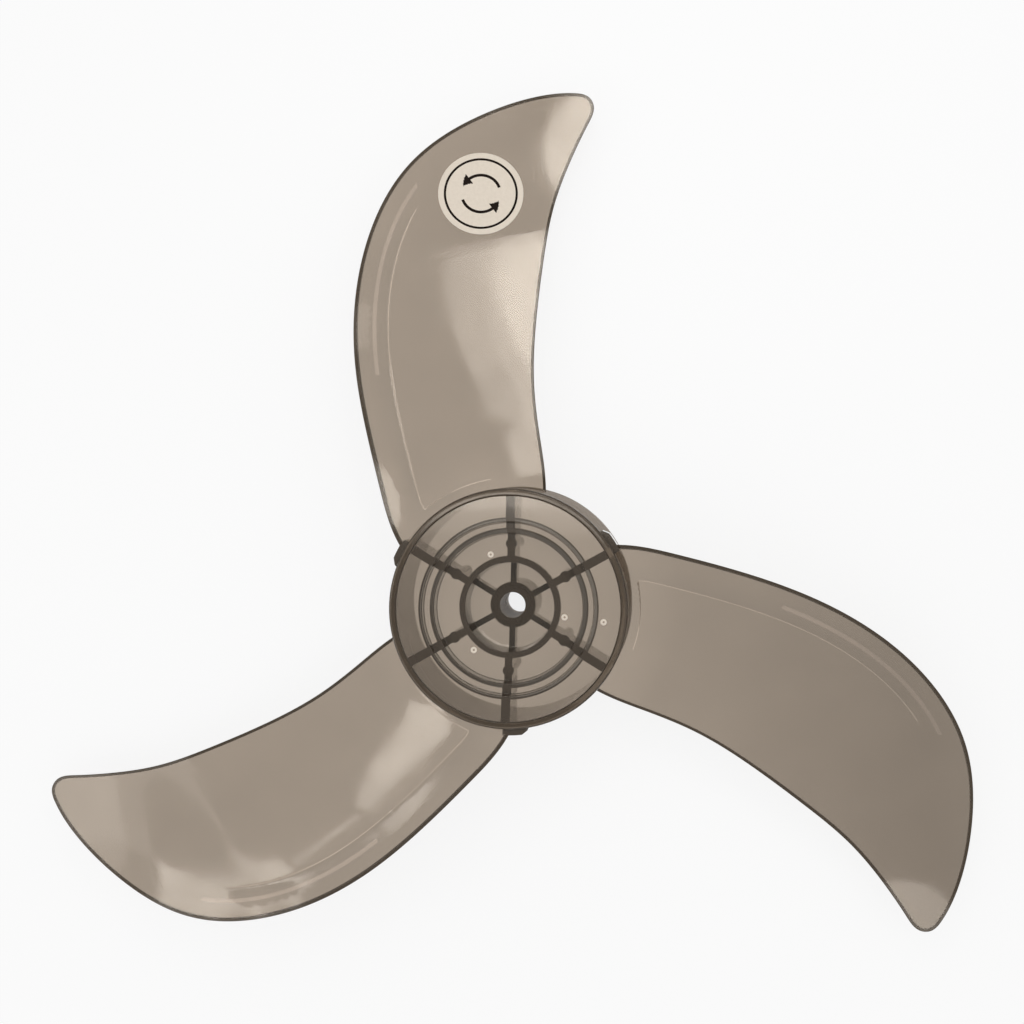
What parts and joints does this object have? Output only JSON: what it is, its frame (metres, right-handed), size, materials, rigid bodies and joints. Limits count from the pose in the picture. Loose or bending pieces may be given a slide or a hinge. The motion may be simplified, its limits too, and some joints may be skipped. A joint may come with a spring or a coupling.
{
  "type": "axial fan impeller",
  "caption": "Axial fan impeller with swept, twisted blades of clear smoke-brown plastic, a ribbed hub cup with a stepped front face, a plain shaft bore and a round paper label.",
  "frame": {"origin": "on the shaft axis, in the rear plane of the hub, where the bore ends and on which the impeller rests", "axes": "+Z along the shaft axis towards the front of the fan; +Y towards the blade that carries the label"},
  "size_m": [0.4462, 0.4027, 0.0575],
  "materials": {
    "smoke_plastic": "clear smoke-brown, glossy, moulded",
    "label_paper": "cream paper, semi-matte"
  },
  "bodies": {
    "root": {"impeller": "smoke_plastic", "round_label": "label_paper"}
  },
  "joints": []
}
